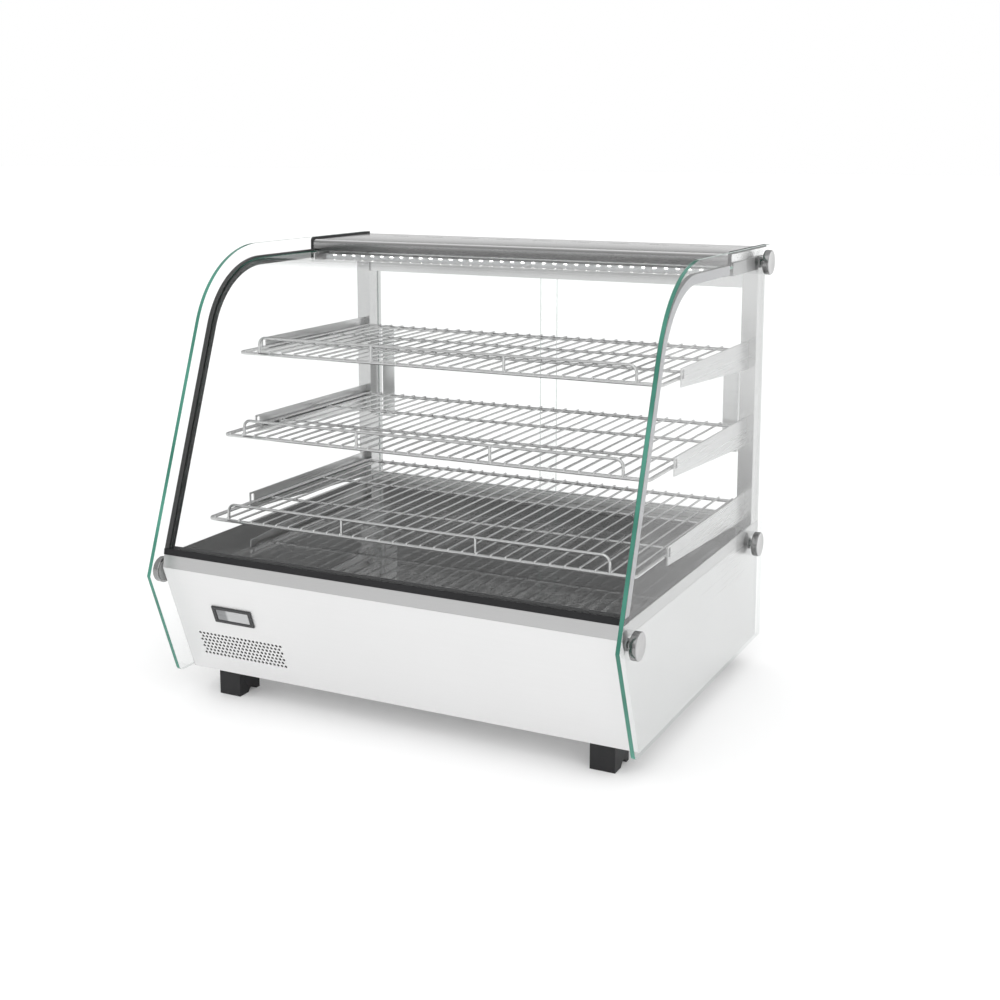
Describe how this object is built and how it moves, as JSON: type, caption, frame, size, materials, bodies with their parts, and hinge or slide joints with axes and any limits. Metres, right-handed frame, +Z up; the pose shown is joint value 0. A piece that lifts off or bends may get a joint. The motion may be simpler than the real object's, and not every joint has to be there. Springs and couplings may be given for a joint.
{
  "type": "hot food display case",
  "caption": "Countertop heated food display: steel base, clear side plates, curved front glass, wire shelves, rear sliding doors and a lit top.",
  "frame": {"origin": "middle of the object on the table plane, under the feet", "axes": "+X along the width, -Y towards the customer side with the curved glass, +Z up"},
  "size_m": [0.7, 0.583, 0.62],
  "materials": {
    "steel_satin": "satin stainless sheet",
    "steel_bright": "bright stainless sheet, faint vertical grain",
    "floor_mirror": "mirror polished stainless",
    "clear_glass": "clear toughened glass with green polished edges",
    "chrome_caps": "polished chrome",
    "chrome_wire": "bright chrome plated wire",
    "black_rubber": "matt black rubber",
    "black_plastic": "moulded black plastic",
    "grey_window": "smoked display window",
    "aluminium": "satin anodised aluminium",
    "led_white": "white circuit strip with lit diodes",
    "milky_lens": "milky diffuser",
    "green_rocker": "translucent green rocker",
    "zinc_steel": "zinc plated steel",
    "element_steel": "heat-darkened steel tube",
    "white_plastic": "white moulded plastic"
  },
  "bodies": {
    "case": {"bottom_plate": "zinc_steel", "front_panel": "steel_bright", "side_panel_left": "steel_bright", "side_panel_right": "steel_bright", "rear_panel": "steel_satin", "top_ring": "steel_satin", "floor_plate": "floor_mirror", "front_gasket": "black_rubber", "side_glass_left": "clear_glass", "side_glass_right": "clear_glass", "front_glass": "clear_glass", "front_trim_left": "black_rubber", "front_trim_right": "black_rubber", "top_cover": "steel_satin", "cover_seal_left": "black_rubber", "cover_seal_right": "black_rubber", "standoff_caps": "chrome_caps", "standoff_washers": "white_plastic", "standoff_nuts": "zinc_steel", "rear_post_left": "steel_satin", "rear_post_right": "steel_satin", "top_rail_left": "steel_satin", "top_rail_right": "steel_satin", "door_track_upper": "aluminium", "door_track_lower": "aluminium", "led_housing": "aluminium", "led_strip": "led_white", "led_lens": "milky_lens", "feet": "black_plastic", "foot_screws": "zinc_steel", "display_bezel": "black_plastic", "display_window": "grey_window", "display_module": "black_plastic", "thermostat_body": "zinc_steel", "power_switch_body": "black_plastic", "light_switch_body": "black_plastic", "cable_gland": "black_plastic", "plenum_tray": "zinc_steel", "heating_element": "element_steel", "fan_housing": "black_plastic", "led_driver": "white_plastic", "terminal_block": "white_plastic", "panel_screws": "chrome_caps", "bracket_left_bottom": "steel_satin", "bracket_left_middle": "steel_satin", "bracket_left_top": "steel_satin", "bracket_right_bottom": "steel_satin", "bracket_right_middle": "steel_satin", "bracket_right_top": "steel_satin"},
    "left_door": {"door_pane_left": "clear_glass", "door_handle_left": "aluminium"},
    "right_door": {"door_pane_right": "clear_glass", "door_handle_right": "aluminium"},
    "bottom_shelf": {"shelf_bottom": "chrome_wire"},
    "middle_shelf": {"shelf_middle": "chrome_wire"},
    "top_shelf": {"shelf_top": "chrome_wire"},
    "thermostat": {"thermostat_knob": "black_plastic"},
    "power_switch": {"power_rocker": "green_rocker"},
    "light_switch": {"light_rocker": "green_rocker"},
    "fan": {"fan_rotor": "black_plastic"}
  },
  "joints": [
    {"name": "left_door_slide", "type": "slide", "parent": "case", "child": "left_door", "axis": [1, 0, 0], "range_m": [0, 0.3]},
    {"name": "right_door_slide", "type": "slide", "parent": "case", "child": "right_door", "axis": [-1, 0, 0], "range_m": [0, 0.3]},
    {"name": "bottom_shelf_lift", "type": "slide", "parent": "case", "child": "bottom_shelf", "axis": [0, 0, 1], "range_m": [0, 0.018]},
    {"name": "middle_shelf_lift", "type": "slide", "parent": "case", "child": "middle_shelf", "axis": [0, 0, 1], "range_m": [0, 0.018]},
    {"name": "top_shelf_lift", "type": "slide", "parent": "case", "child": "top_shelf", "axis": [0, 0, 1], "range_m": [0, 0.018]},
    {"name": "thermostat_turn", "type": "hinge", "parent": "case", "child": "thermostat", "pos_m": [0.17, 0.2735, 0.11], "axis": [0, -1, 0], "range_deg": [-135, 135]},
    {"name": "power_switch_rock", "type": "hinge", "parent": "case", "child": "power_switch", "pos_m": [0.25, 0.2705, 0.11], "axis": [-1, 0, 0], "range_deg": [0, 16]},
    {"name": "light_switch_rock", "type": "hinge", "parent": "case", "child": "light_switch", "pos_m": [0.215, 0.2705, 0.11], "axis": [-1, 0, 0], "range_deg": [0, 16]},
    {"name": "fan_spin", "type": "hinge", "parent": "case", "child": "fan", "pos_m": [0, -0.0095, 0.138], "axis": [0, 0, 1], "continuous": true}
  ]
}
